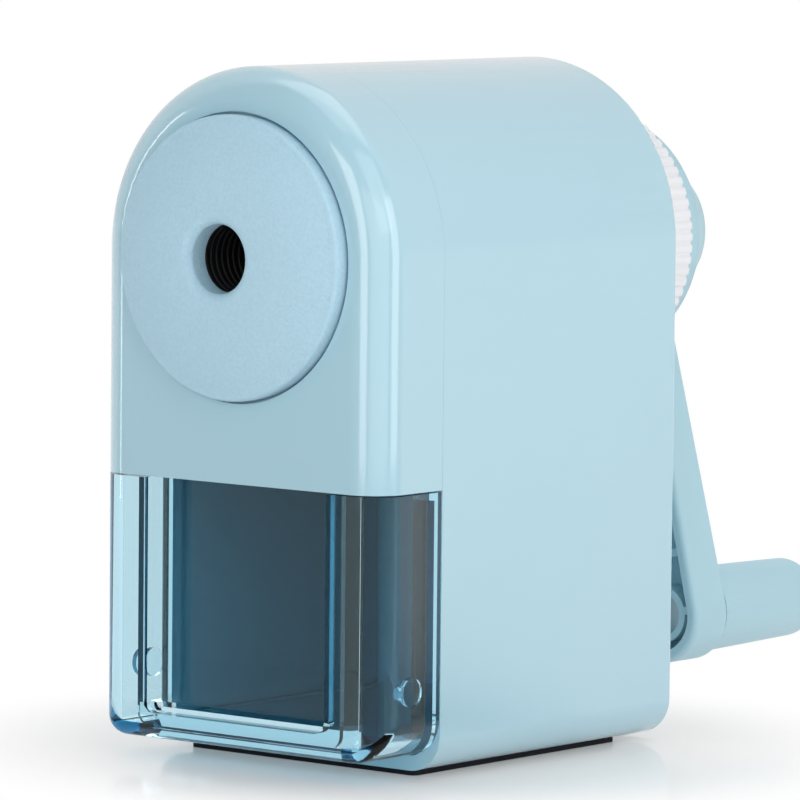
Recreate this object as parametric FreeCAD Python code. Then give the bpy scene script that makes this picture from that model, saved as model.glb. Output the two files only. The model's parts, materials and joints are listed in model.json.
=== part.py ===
"""Crank pencil sharpener: an arched body with a shavings drawer, a face disc with
the pencil hole, a helical cutter that rolls round a fixed gear ring, a dial that
sets the point, and a crank with a turning knob.

Millimetres. X to the right, Y from front to back, Z up. While a piece is built, Y
is measured from the flat front panel; write_step moves it so that the origin is the
middle of the pad's underside.
"""
import FreeCAD
import Part
import math
import os

V = FreeCAD.Vector
Y_AXIS = V(0, 1, 0)
FLAT = 1e-6                 # tolerance for picking edges by place
ROUND_MID = 1 - math.sqrt(0.5)   # share of a quarter round at its middle

# Body
body_width = 48.4
body_depth = 62.6
axis_height = 66.9          # pencil and crank axis above the pad's underside
arch_rise = 0.4             # centre of the half-round top above that axis
wall = 2.0                  # housing and cover
rear_wall = 2.2
corner_radius = 5.0         # bottom corners, seen from the front
front_round = 4.9           # round of the front edge
rear_round = 0.7
cover_depth = 12.9          # front cover and drawer front, to the side seam
drawer_top = 37.4           # seam between drawer and cover
seam_gap = 0.2              # visible line between drawer and cover
lip_length = 2.5            # cover's tongue inside the housing
lip_thickness = 1.2
lip_gap = 0.1

# Pad
pad_thickness = 0.8
pad_side_inset = 4.9
pad_front_inset = 0.9       # behind the side seam
pad_rear_inset = 5.9
pad_corner = 1.0

# Face disc, pencil hole and the guide behind it
pencil_bore = 4.5           # radius
mouth_flare = 1.8           # rounded lead round the hole, outward
mouth_depth = 1.0           # and inward
disc_radius = 18.5
disc_rim_proud = 1.9
disc_centre_proud = 4.2
disc_bulge = 0.72           # share of the dome's rise half way in
disc_edge_round = 0.6
disc_seat_depth = 1.0
disc_ring_gap = 0.35        # dark line round the disc
guide_recess = 2.4          # from the hole's throat to the guide
guide_wall = 0.9
guide_fit = 0.02
sleeve_wall = 1.0
sleeve_setback = 1.9        # sleeve's end in front of the side seam
sleeve_fit = 0.05
cover_boss_wall = 3.0
cover_boss_setback = 4.3

# Drawer
drawer_wall = 1.8
drawer_side_gap = 0.35
drawer_floor_gap = 0.2
drawer_rear_gap = 1.5
drawer_headroom = 1.2       # box rim below the deck
window_half_width = 15.5
window_depth = 3.7
window_sill = 6.4
window_corner = 1.8
foot_round = 1.5            # front edge of the drawer's foot
cove_radius = 1.5           # inside, from the window down to the floor
pillar_round = 1.0
box_corner = 3.6
rest_boss_radius = 1.9      # round boss inside each pillar
rest_boss_height = 0.7
rest_boss_setback = 4.6     # in front of the side seam
rest_boss_up = 8.8          # above the drawer front's foot

# Deck between the drawer and the cutter
deck_thickness = 1.6
chute_half_width = 15.0
chute_front_inset = 9.1     # behind the side seam
chute_rear_inset = 10.4     # in front of the back wall

# Gear pair: pinion and ring share one apex on the pencil axis
shaft_angle = 10.5          # degrees between cutter axis and pencil axis
pinion_teeth = 12
ring_teeth = 36
pinion_face = 4.0
tip_setback = 14.4          # cutter's tip in front of the back wall
cutter_radius = 5.5
cutter_flutes = 10
flute_depth = 0.75
flute_twist = 75.0          # degrees over the cutter's length
flute_steps = 6
flute_run = 0.75            # share of the flute from crest to root
ring_overhang = 0.4         # ring teeth reach past the pinion
addendum_share = 0.75
dedendum_share = 0.95
pressure_angle = 20.0
backlash = 0.22
axle_radius = 1.25
axle_fit = 0.06
axle_seat = 0.01
axle_cover = 2.4            # flange round the axle's end
axle_blind = 0.6            # end wall behind the axle
cutter_end_gap = 0.35
tip_gap = 0.8               # cutter's tip to the end wall

# Gear plate
plate_setback = 0.5         # behind the side seam
plate_thickness = 2.2
plate_gap = 0.25            # plate to the cover's tongue
plate_corner = 1.0
ring_wall = 2.4
journal_radius = 7.2
journal_fit = 0.05
plate_screw_inset = 7.2     # from the outer side
plate_screw_up = 5.0        # above the deck
screw_radius = 1.3
screw_hole_gap = 0.1
screw_head_radius = 2.5
screw_head_height = 1.5
screw_head_round = 0.5
screw_length = 9.0
screw_boss_wall = 1.7
screw_boss_spare = 3.2      # boss beyond the screw's end

# Carrier
carrier_gap = 0.6           # behind the guide sleeve
bore_step = 0.2             # carrier's bore over the pencil hole
flange_thickness = 1.5
flange_gap = 0.45           # flange to plate
barrel_front_radius = 11.0
barrel_back_radius = 8.8
point_land = 0.9            # radius left at the tip of the cone
cone_setback = 3.1          # cone starts behind the pinion
cutter_room = 0.6
end_wall = 3.2
shaft_radius = 5.0
shaft_fit = 0.05
drive_radius = 4.0          # driven end of the shaft
drive_flat = 3.0
drive_length = 8.0
drive_fit = 0.04
joint_overlap = 0.5         # solids that grow together

# Point adjuster: the stop is furthest forward at rest
adjust_travel = 2.0
dial_range = 150.0          # degrees
stop_bore = 2.3
stop_rod = 1.2
stop_fit = 0.1
stop_head = 1.9
stop_head_length = 1.2
stop_clear_of_cutter = 0.35
ear_reach = 7.6
ear_half_height = 1.1
ear_length = 2.0
ear_gap = 0.25
shoulder_thickness = 0.6    # spring's seat inside the shaft
spring_wire = 0.22          # radius
spring_turns = 4
spring_steps = 10           # sections in a turn
spring_sides = 6            # of the wire's section
spring_touch = 0.02
collar_setback = 0.5        # in front of the back wall at full travel
collar_thickness = 1.8
collar_inner_gap = 0.3
collar_outer = 9.0
leg_radius = 1.5
leg_circle = 12.0
leg_gap = 0.3
leg_reach = 2.6             # past the back wall
ramp_gap = 0.2
ramp_half_width = 1.7
ramp_margin = 9.0           # degrees of flat run at each end
ramp_steps = 15

# Dial and the tube that carries it
tube_radius = 8.0
tube_length = 10.4
dial_radius = 18.3
dial_depth = 11.2           # from the housing's back
dial_front_gap = 0.4        # dial to housing
dial_wall = 2.2
dial_web = 2.6
dial_hub_wall = 1.6
dial_fit = 0.08
dial_ribs = 72
rib_depth = 0.3
rib_land = 0.5              # share of the pitch at full radius
rib_groove = 0.2            # share at the groove's floor
rib_flank = 0.15

# Crank
hub_gap = 0.35              # hub to dial
hub_radius = 16.2
hub_rim = 4.0
hub_depth = 15.4
hub_nose_radius = 9.4
hub_nose_round = 1.2
hub_wall = 2.2
hub_step = 0.6              # inner cone starts below the rim
hub_core_radius = 7.0
socket_spare = 0.3          # beyond the shaft's end
cap_radius = 4.6
cap_fit = 0.05
cap_thickness = 1.6
cap_crown = 0.5
cap_round = 0.45
crank_screw_head = 3.6
crank_screw_head_height = 1.8
crank_screw_radius = 1.5
crank_screw_gap = 0.2
crank_screw_length = 12.0
crank_screw_spare = 1.0     # hole beyond the screw's end
recess_radius = 1.2         # drive recess in the screw's head
recess_depth = 0.9
arm_swing = 11.7            # degrees from straight down
arm_length = 53.4
arm_setback = 2.85          # arm's front behind the hub's
arm_depth_hub = 4.6
arm_depth_end = 6.85
arm_hub_half_width = 5.5
arm_end_radius = 6.7
arm_wall = 1.6
arm_floor = 1.8
arm_edge_round = 0.9
rib_width = 1.1
rib_setback = 1.0           # ribs lie below the channel's rim
rib_pitch = 10.5
rib_first = 3.7             # first rib above the pin's boss
rib_count = 2
brace_angle = 38.0
brace_length = 14.2
brace_drop = 3.7            # braces start above each rib
boss_radius = 3.9

# Knob
pin_radius = 2.0
pin_head_radius = 2.9
pin_head_height = 1.4
pin_fit = 0.05
pin_end_gap = 0.6
knob_gap = 0.4
knob_base_radius = 5.95
knob_end_radius = 5.5
knob_length = 24.5
knob_end_round = 3.0
knob_neck = 0.6             # step at the knob's foot
knob_neck_length = 0.8
knob_bore_length = 16.0

# Derived places
half_width = body_width / 2
arch_height = axis_height + arch_rise
base_z = pad_thickness
drawer_foot = base_z + wall + drawer_floor_gap
pad_front = cover_depth + pad_front_inset
pad_back = body_depth - pad_rear_inset
origin_y = (pad_front + pad_back) / 2
deck_z = drawer_top + seam_gap
deck_top = deck_z + deck_thickness
rear_inside = body_depth - rear_wall
throat_y = mouth_depth - disc_centre_proud
guide_radius = pencil_bore + guide_wall
sleeve_radius = guide_radius + sleeve_wall
sleeve_back = cover_depth - sleeve_setback
plate_front = cover_depth + plate_setback
plate_back = plate_front + plate_thickness
flange_front = plate_back + flange_gap
flange_back = flange_front + flange_thickness
pinion_front = flange_back + cutter_end_gap
pinion_back = pinion_front + pinion_face
pinion_middle = (pinion_front + pinion_back) / 2
tip_y = rear_inside - tip_setback
tan_shaft = math.tan(math.radians(shaft_angle))
apex_y = tip_y + cutter_radius / tan_shaft
carrier_front = sleeve_back + carrier_gap
carrier_bore = pencil_bore + bore_step
cone_front = pinion_back + cone_setback
end_wall_front = tip_y + tip_gap
end_wall_back = end_wall_front + end_wall
stop_head_back = end_wall_front + stop_head_length
shoulder_front = stop_head_back + adjust_travel + ear_gap
shoulder_back = shoulder_front + shoulder_thickness
collar_back = rear_inside - collar_setback - adjust_travel
collar_front = collar_back - collar_thickness
ear_back = collar_front - ear_gap
ear_front = ear_back - ear_length
leg_back = body_depth + leg_reach
tube_back = body_depth + tube_length
dial_front = body_depth + dial_front_gap
dial_back = body_depth + dial_depth
drive_start = tube_back + hub_gap
drive_end = drive_start + drive_length
hub_front = dial_back + hub_gap
hub_back = hub_front + hub_depth
cap_seat = hub_back - cap_thickness
screw_seat = cap_seat - crank_screw_head_height
arm_front = hub_front + arm_setback
arm_back_hub = arm_front + arm_depth_hub
arm_back_end = arm_front + arm_depth_end
arm_end_x = arm_length * math.sin(math.radians(arm_swing))
arm_end_z = axis_height - arm_length * math.cos(math.radians(arm_swing))
pin_seat = arm_back_end - arm_floor
knob_foot = arm_back_end + knob_gap
knob_end = knob_foot + knob_length
knob_bore_end = knob_foot + knob_bore_length


def box(x0, x1, y0, y1, z0, z1):
    """Block between two corners."""
    return Part.makeBox(x1 - x0, y1 - y0, z1 - z0, V(x0, y0, z0))


def rod(radius, y0, y1, x=0.0, z=axis_height):
    """Cylinder along Y, on the pencil axis unless placed elsewhere."""
    return Part.makeCylinder(radius, y1 - y0, V(x, y0, z), Y_AXIS)


def taper(radius0, radius1, y0, y1):
    """Cone frustum along the pencil axis."""
    return Part.makeCone(radius0, radius1, y1 - y0, V(0, y0, axis_height), Y_AXIS)


def polygon(points):
    """Closed face through points."""
    return Part.Face(Part.makePolygon(list(points) + [points[0]]))


def revolve(profile, x=0.0, z=axis_height):
    """Turn an outline of (radius, y) points round an axis along Y."""
    face = polygon([V(x + radius, y, z) for radius, y in profile])
    return face.revolve(V(x, 0, z), Y_AXIS, 360)


def about_axis(shape, degrees):
    """Copy of a shape turned round the pencil axis."""
    turned = shape.copy()
    turned.rotate(V(0, 0, axis_height), Y_AXIS, degrees)
    return turned


def arch_face(half, bottom, corner, y):
    """Body section: flat bottom with round corners and a half-round top."""
    right_low = V(half - corner, y, bottom + corner)
    left_low = V(corner - half, y, bottom + corner)
    diagonal = corner * math.sqrt(0.5)
    edges = [
        Part.makeLine(V(corner - half, y, bottom), V(half - corner, y, bottom)),
        Part.Arc(
            V(half - corner, y, bottom),
            right_low + V(diagonal, 0, -diagonal),
            V(half, y, bottom + corner),
        ).toShape(),
        Part.makeLine(V(half, y, bottom + corner), V(half, y, arch_height)),
        Part.Arc(
            V(half, y, arch_height),
            V(0, y, arch_height + half),
            V(-half, y, arch_height),
        ).toShape(),
        Part.makeLine(V(-half, y, arch_height), V(-half, y, bottom + corner)),
        Part.Arc(
            V(-half, y, bottom + corner),
            left_low + V(-diagonal, 0, -diagonal),
            V(corner - half, y, bottom),
        ).toShape(),
    ]
    return Part.Face(Part.Wire(edges))


def arch(half, bottom, corner, y0, y1):
    """Body section drawn out along Y."""
    return arch_face(half, bottom, corner, y0).extrude(V(0, y1 - y0, 0))


def edges_at_y(shape, y):
    """Edges that lie wholly in the plane at y."""
    return [e for e in shape.Edges if abs(e.BoundBox.YMin - y) < FLAT and abs(e.BoundBox.YMax - y) < FLAT]


def inner_arch(offset, y0, y1):
    """Room inside the shell, the given distance in from the outer skin."""
    return arch(half_width - offset, base_z + offset, corner_radius - offset, y0, y1)


def rear_tube_openings():
    """Holes in the back wall: the shaft's bearing and the collar's two legs."""
    cuts = [rod(shaft_radius + shaft_fit, rear_inside, tube_back)]
    for side in (-1, 1):
        cuts.append(rod(leg_radius + leg_gap, rear_inside, body_depth, side * leg_circle))
    return cuts


def plate_screw_places():
    """Centres of the gear plate's two screws, as (x, z)."""
    reach = half_width - plate_screw_inset
    return [(side * reach, deck_top + plate_screw_up) for side in (-1, 1)]


def housing():
    """Arched shell with its deck, screw bosses and the tube on its back."""
    shell = arch(half_width, base_z, corner_radius, cover_depth, body_depth)
    shell = shell.makeFillet(rear_round, edges_at_y(shell, body_depth))
    shell = shell.cut(inner_arch(wall, cover_depth, rear_inside))
    inside = half_width - wall
    deck = box(-inside, inside, cover_depth, rear_inside, deck_z, deck_top)
    chute = box(-chute_half_width, chute_half_width, cover_depth + chute_front_inset,
                rear_inside - chute_rear_inset, deck_z, deck_top)
    shell = shell.fuse([deck.cut(chute), rod(tube_radius, rear_inside, tube_back)])
    hole_end = plate_front + screw_length
    boss_end = hole_end + screw_boss_spare
    for x, z in plate_screw_places():
        side = math.copysign(inside, x)
        web = box(min(x, side), max(x, side), plate_back, boss_end, deck_top, z)
        shell = shell.fuse([rod(screw_radius + screw_boss_wall, plate_back, boss_end, x, z), web])
        shell = shell.cut(rod(screw_radius, plate_back, boss_end, x, z))
    return shell.cut(rear_tube_openings()).removeSplitter()


def front_form():
    """Outer form that the front cover and the drawer's front share."""
    form = arch(half_width, drawer_foot, corner_radius, 0, cover_depth)
    return form.makeFillet(front_round, edges_at_y(form, 0))


def drawer_front_form(inset):
    """Drawer front: round upright corners and round lower corners, in from the skin by inset."""
    half = half_width - inset
    section = arch(half, drawer_foot + inset, corner_radius - inset, inset, cover_depth - seam_gap - inset)
    plan = box(-half, half, inset, cover_depth, 0, drawer_top)
    corners = [e for e in plan.Edges if is_upright(e) and abs(e.BoundBox.YMax - inset) < FLAT]
    return section.common(plan.makeFillet(front_round - inset, corners))


def above(z):
    """Everything in the front part above a height."""
    return box(-body_width, body_width, -body_width, body_depth, z, axis_height + body_width)


def front_cover():
    """Front shell over the drawer, with the disc's seat and the sleeve's boss."""
    outer = front_form().common(above(deck_z))
    room = inner_arch(wall, wall, cover_depth).common(above(deck_z + wall))
    cover = outer.cut(room)
    lip_outside = wall + lip_gap
    lip_room = inner_arch(lip_outside + lip_thickness, 0, body_depth)
    tongue = inner_arch(lip_outside, cover_depth - wall, cover_depth + lip_length)
    bridge = inner_arch(wall / 2, cover_depth - wall, cover_depth)
    lip = tongue.fuse(bridge).cut(lip_room).common(above(arch_height))
    boss = rod(sleeve_radius + cover_boss_wall, wall / 2, cover_depth - cover_boss_setback)
    cover = cover.fuse([lip, boss])
    seat = rod(disc_radius + disc_ring_gap, 0, disc_seat_depth)
    return cover.cut([seat, rod(sleeve_radius + sleeve_fit, 0, cover_depth)]).removeSplitter()


def face_disc():
    """Domed disc with the pencil hole and the sleeve for the guide behind it."""
    rim = disc_radius
    mouth = pencil_bore + mouth_flare
    rise = disc_centre_proud - disc_rim_proud
    guide_front = throat_y + guide_recess
    sleeve_bore = guide_radius + guide_fit

    def at(radius, y):
        return V(radius, y, axis_height)

    corner = at(rim - disc_edge_round, -disc_rim_proud)
    middle = at((rim + mouth) / 2, -disc_rim_proud - disc_bulge * rise)
    crown = at(mouth, -disc_centre_proud)
    lead = at(pencil_bore + ROUND_MID * mouth_flare, ROUND_MID * mouth_depth - disc_centre_proud)
    throat = at(pencil_bore, throat_y)
    points = [
        throat,
        at(pencil_bore, guide_front),
        at(sleeve_bore, guide_front),
        at(sleeve_bore, sleeve_back),
        at(sleeve_radius, sleeve_back),
        at(sleeve_radius, disc_seat_depth),
        at(rim, disc_seat_depth),
        at(rim, disc_edge_round - disc_rim_proud),
    ]
    edge_mid = at(rim - ROUND_MID * disc_edge_round, ROUND_MID * disc_edge_round - disc_rim_proud)
    edges = [Part.makeLine(a, b) for a, b in zip(points, points[1:])]
    edges += [
        Part.Arc(points[-1], edge_mid, corner).toShape(),
        Part.Arc(corner, middle, crown).toShape(),
        Part.Arc(crown, lead, throat).toShape(),
    ]
    return Part.Face(Part.Wire(edges)).revolve(at(0, 0), Y_AXIS, 360)


def pencil_guide():
    """Dark tube inside the sleeve that steadies the pencil."""
    front = throat_y + guide_recess
    return rod(guide_radius, front, sleeve_back).cut(rod(pencil_bore, front, sleeve_back))


def drawer():
    """Clear shavings drawer: hollow front with a recessed window, and the box."""
    box_half = half_width - wall - drawer_side_gap
    box_back = rear_inside - drawer_rear_gap
    box_top = drawer_top - drawer_headroom
    tub = box(-box_half, box_half, window_depth, box_back, drawer_foot, box_top)
    low_edges = [e for e in tub.Edges if abs(e.BoundBox.ZMax - drawer_foot) < FLAT]
    long_edges = [e for e in low_edges if e.BoundBox.XLength < FLAT]
    tub = tub.makeFillet(box_corner, long_edges)
    front = drawer_front_form(0)
    front = front.makeFillet(foot_round, [e for e in front.Edges if is_foot_edge(e)])
    solid = front.fuse(tub).cut(window_pocket(window_half_width, window_sill, 0, window_depth))
    room_half = box_half - drawer_wall
    room_floor = drawer_foot + drawer_wall
    room = box(-room_half, room_half, drawer_wall, box_back - drawer_wall, room_floor, drawer_top)
    keep = window_pocket(window_half_width + drawer_wall, window_sill - drawer_wall, 0,
                         window_depth + drawer_wall)
    solid = solid.cut(room.fuse(drawer_front_form(drawer_wall)).cut(keep)).fuse(window_cove(room_floor))
    pillar_half = half_width - drawer_wall
    for side in (-1, 1):
        place = V(side * pillar_half, cover_depth - rest_boss_setback, drawer_foot + rest_boss_up)
        solid = solid.fuse(Part.makeCylinder(rest_boss_radius, rest_boss_height, place, V(-side, 0, 0)))
    return solid.removeSplitter()


def is_foot_edge(edge):
    """True for the edges round the front of the drawer's foot."""
    bounds = edge.BoundBox
    low = bounds.ZMin < drawer_foot + corner_radius / 2 and bounds.YMin < front_round / 2
    return low and bounds.YMax < front_round + FLAT and bounds.ZMax < drawer_foot + corner_radius + FLAT


def window_cove(floor):
    """Hollow round that fills the corner between the window's back and the floor."""
    half = window_half_width + drawer_wall
    start = window_depth + drawer_wall
    block = box(-half, half, start, start + cove_radius, floor, floor + cove_radius)
    centre = V(-half, start + cove_radius, floor + cove_radius)
    hollow = Part.makeCylinder(cove_radius, 2 * half, centre, V(1, 0, 0))
    return block.cut(hollow)


def is_upright(edge):
    """True for a straight edge along Z."""
    bounds = edge.BoundBox
    return bounds.XLength < FLAT and bounds.YLength < FLAT


def window_pocket(half, sill, y0, y1):
    """Block that the drawer's window takes out of its front."""
    pocket = box(-half, half, y0, y1, sill, drawer_top + wall)
    corners = [e for e in pocket.Edges if abs(e.BoundBox.ZMax - sill) < FLAT and e.BoundBox.XLength < FLAT]
    return pocket.makeFillet(window_corner, corners)


def base_pad():
    """Rubber pad under the housing."""
    half = half_width - pad_side_inset
    pad = box(-half, half, pad_front, pad_back, 0, pad_thickness)
    return pad.makeFillet(pad_corner, [e for e in pad.Edges if is_upright(e)])


def involute_angle(angle):
    """Involute function of a pressure angle."""
    return math.tan(angle) - angle


def tooth_half_angle(radius, pitch_radius, width):
    """Half angle of an involute tooth, or of a ring's tooth space, at a radius."""
    alpha = math.radians(pressure_angle)
    base_radius = pitch_radius * math.cos(alpha)
    here = math.acos(min(1.0, base_radius / radius))
    return width / (2 * pitch_radius) + involute_angle(alpha) - involute_angle(here)


def gear_outline(teeth, pitch_radius, low, high, width):
    """Gear outline in the XZ plane, as (x, z) points, with a tooth on the Z axis."""
    points = []
    for tooth in range(teeth):
        centre = 2 * math.pi * tooth / teeth
        for radius, side in ((low, -1), (pitch_radius, -1), (high, -1),
                             (high, 1), (pitch_radius, 1), (low, 1)):
            angle = centre + side * tooth_half_angle(radius, pitch_radius, width)
            points.append((radius * math.sin(angle), radius * math.cos(angle)))
    return points


def scaled_loft(outline, y0, y1, apex, reference):
    """Straight loft of an outline that shrinks towards the apex on the Y axis."""
    wires = []
    for y in (y0, y1):
        share = (apex - y) / (apex - reference)
        points = [V(x * share, y, z * share) for x, z in outline]
        wires.append(Part.makePolygon(points + [points[0]]))
    return Part.makeLoft(wires, True, True)


def pinion_cone():
    """Half angle of the pinion's pitch cone, in radians."""
    delta = math.radians(shaft_angle)
    return math.atan(math.sin(delta) / (ring_teeth / pinion_teeth - math.cos(delta)))


def pinion_pitch_radius():
    """Pitch radius of the pinion at the middle of its face."""
    reach = (apex_y - pinion_middle) / math.cos(math.radians(shaft_angle))
    return reach * math.tan(pinion_cone())


def ring_pitch_radius():
    """Pitch radius of the ring in the plane of the pinion's middle."""
    return (apex_y - pinion_middle) * math.tan(math.radians(shaft_angle) + pinion_cone())


def along_cutter(shape):
    """Move a shape built on the Y axis about the apex onto the cutter's axis."""
    shape.translate(V(0, 0, axis_height))
    shape.rotate(V(0, apex_y, axis_height), V(1, 0, 0), -shaft_angle)
    return shape


def cutter_reach(y):
    """Place along the cutter's axis that meets the plane at y."""
    return apex_y - (apex_y - y) / math.cos(math.radians(shaft_angle))


def on_cutter(radius, y0, y1):
    """Cylinder along the cutter's axis."""
    return along_cutter(Part.makeCylinder(radius, y1 - y0, V(0, y0, 0), Y_AXIS))


def pinion_module():
    """Tooth size of the gear pair at the middle of the pinion's face."""
    return 2 * pinion_pitch_radius() / pinion_teeth


def cutter_pinion():
    """Pinion on the cutter's front end."""
    pitch = pinion_pitch_radius()
    module = pinion_module()
    width = math.pi * module / 2 - backlash
    low = pitch - dedendum_share * module
    high = pitch + addendum_share * module
    outline = gear_outline(pinion_teeth, pitch, low, high, width)
    y0, y1 = cutter_reach(pinion_front), cutter_reach(pinion_back)
    gear = along_cutter(scaled_loft(outline, y0, y1, apex_y, (y0 + y1) / 2))
    return gear.cut(on_cutter(axle_radius + axle_fit, y0, y1))


def cutter_roller():
    """Helical cutter: sawtooth section twisted along its axis."""
    y0 = cutter_reach(pinion_back)
    y1 = cutter_reach(tip_y)
    pitch = 2 * math.pi / cutter_flutes
    wires = []
    for step in range(flute_steps + 1):
        share = step / flute_steps
        y = y0 + (y1 - y0) * share
        points = []
        for flute in range(cutter_flutes):
            crest = pitch * flute + math.radians(flute_twist) * share
            root = crest + flute_run * pitch
            for radius, turn in ((cutter_radius, crest), (cutter_radius - flute_depth, root)):
                points.append(V(radius * math.sin(turn), y, radius * math.cos(turn)))
        wires.append(Part.makePolygon(points + [points[0]]))
    roller = along_cutter(Part.makeLoft(wires, True, True))
    return roller.cut(on_cutter(axle_radius + axle_fit, y0, y1))


def cutter_axle():
    """Pin that carries the cutter between the carrier's flange and end wall."""
    return on_cutter(axle_radius, cutter_reach(flange_front), cutter_reach(end_wall_back - axle_blind))


def gear_plate():
    """Front bearing plate with the fixed gear ring behind it."""
    pitch = ring_pitch_radius()
    module = 2 * pitch / ring_teeth
    inside = half_width - wall - lip_gap - lip_thickness - plate_gap
    plate = arch(inside, deck_top, plate_corner, plate_front, plate_back)
    ring_front = pinion_front - ring_overhang
    ring_back = pinion_back + ring_overhang
    low = pitch - addendum_share * module
    high = pitch + dedendum_share * module
    ring = rod(high + ring_wall, plate_back, ring_back)
    outline = gear_outline(ring_teeth, pitch, low, high, math.pi * module / 2)
    teeth = scaled_loft(outline, ring_front, ring_back, apex_y, pinion_middle)
    teeth.translate(V(0, 0, axis_height))
    relief = (apex_y - pinion_front) / (apex_y - pinion_middle) * high
    plate = plate.fuse(ring.cut([rod(relief, plate_back, ring_front), teeth]))
    plate = plate.cut(rod(journal_radius + journal_fit, plate_front, plate_back))
    for x, z in plate_screw_places():
        plate = plate.cut(rod(screw_radius + screw_hole_gap, plate_front, plate_back, x, z))
    return plate


def gear_plate_screws():
    """Two pan-head screws through the gear plate."""
    screws = []
    for x, z in plate_screw_places():
        top = plate_front - screw_head_height
        head = rod(screw_head_radius, top, plate_front, x, z)
        head = head.makeFillet(screw_head_round, edges_at_y(head, top))
        shank = rod(screw_radius - axle_seat, plate_front, plate_front + screw_length, x, z)
        screws.append(head.fuse(shank).removeSplitter())
    return Part.makeCompound(screws)


def cutter_carrier():
    """Rotating cage for the cutter, with the hollow crank shaft behind it."""
    carrier = rod(journal_radius, carrier_front, flange_back)
    shaft = rod(shaft_radius, end_wall_back - joint_overlap, drive_start)
    drive = rod(drive_radius, drive_start - joint_overlap, drive_end)
    drive = drive.common(box(-drive_radius, drive_radius, 0, drive_end,
                             axis_height - drive_flat, axis_height + drive_flat))
    flange_radius = (apex_y - flange_back) * tan_shaft + axle_radius + axle_cover
    carrier = carrier.fuse([
        rod(flange_radius, flange_front, flange_back),
        taper(barrel_front_radius, barrel_back_radius, flange_back, end_wall_back),
        shaft,
        drive,
    ])
    room_front = cutter_reach(flange_back)
    room_back = cutter_reach(end_wall_front)
    room_radius = cutter_radius + cutter_room
    widest = (apex_y - pinion_front) / (apex_y - pinion_middle)
    pinion_room = widest * (pinion_pitch_radius() + addendum_share * pinion_module()) + cutter_room
    mouth = Part.makeBox(2 * room_radius, room_back - room_front, body_width,
                         V(-room_radius, room_front, 0))
    return carrier.cut([
        rod(carrier_bore, carrier_front, cone_front),
        taper(carrier_bore, point_land, cone_front, end_wall_front),
        on_cutter(room_radius, room_front, room_back),
        on_cutter(pinion_room, room_front, cutter_reach(pinion_back) + cutter_end_gap),
        along_cutter(mouth),
        on_cutter(axle_radius + axle_seat, cutter_reach(carrier_front),
                  cutter_reach(end_wall_back - axle_blind)),
        rod(stop_bore, end_wall_front - ear_gap, shoulder_front),
        rod(stop_rod + stop_fit, shoulder_front, shoulder_back),
        rod(stop_bore, shoulder_back, collar_back + adjust_travel),
        box(-shaft_radius, shaft_radius, ear_front - ear_gap, ear_back + adjust_travel + ear_gap,
            axis_height - ear_half_height - ear_gap, axis_height + ear_half_height + ear_gap),
        rod(crank_screw_radius, drive_end - crank_screw_length, drive_end),
    ]).removeSplitter()


def point_stop():
    """Plunger that the pencil's tip meets, with two ears through the shaft."""
    head = rod(stop_head, end_wall_front, stop_head_back)
    head = head.common(box(-stop_head, stop_head, end_wall_front, stop_head_back,
                           axis_height - stop_head, axis_height - stop_clear_of_cutter))
    stem = rod(stop_rod, stop_head_back - joint_overlap, ear_back)
    ears = box(-ear_reach, ear_reach, ear_front, ear_back,
               axis_height - ear_half_height, axis_height + ear_half_height)
    return head.fuse([stem, ears]).removeSplitter()


def stop_spring():
    """Coil spring round the plunger's stem, from the shaft's shoulder to the ears."""
    radius = (stop_rod + stop_bore) / 2
    start = shoulder_back + spring_touch + spring_wire
    length = ear_front - spring_touch - spring_wire - start
    steps = spring_turns * spring_steps
    wires = []
    for step in range(steps + 1):
        turn = 2 * math.pi * step / spring_steps
        outward = V(math.cos(turn), 0, math.sin(turn))
        centre = V(0, start + length * step / steps, axis_height) + outward * radius
        points = []
        for side in range(spring_sides):
            angle = 2 * math.pi * side / spring_sides
            points.append(centre + (outward * math.cos(angle) + Y_AXIS * math.sin(angle)) * spring_wire)
        wires.append(Part.makePolygon(points + [points[0]]))
    return Part.makeLoft(wires, True, True)


def adjuster_collar():
    """Collar behind the ears, kept from turning by two legs through the back wall."""
    collar = rod(collar_outer, collar_front, collar_back)
    for side in (-1, 1):
        x = side * leg_circle
        arm = box(min(0, x), max(0, x), collar_front, collar_back,
                  axis_height - leg_radius, axis_height + leg_radius)
        collar = collar.fuse([arm, rod(leg_radius, collar_front, leg_back, x)])
    return collar.cut(rod(shaft_radius + collar_inner_gap, collar_front, collar_back)).removeSplitter()


def dial_ramp(root):
    """One ramp inside the dial: its face falls away evenly, with a flat run at each end."""
    low = leg_back + ramp_gap + adjust_travel
    inner = leg_circle - ramp_half_width
    outer = leg_circle + ramp_half_width
    span = dial_range + 2 * ramp_margin
    wires = []
    for step in range(ramp_steps + 1):
        turn = span * step / ramp_steps - ramp_margin
        face = low - adjust_travel * (1 - min(max(turn / dial_range, 0), 1))
        angle = math.radians(turn)
        corners = []
        for radius, y in ((inner, root), (outer, root), (outer, face), (inner, face)):
            corners.append(V(radius * math.cos(angle), y, axis_height + radius * math.sin(angle)))
        wires.append(Part.makePolygon(corners + [corners[0]]))
    return Part.makeLoft(wires, True, True)


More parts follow.
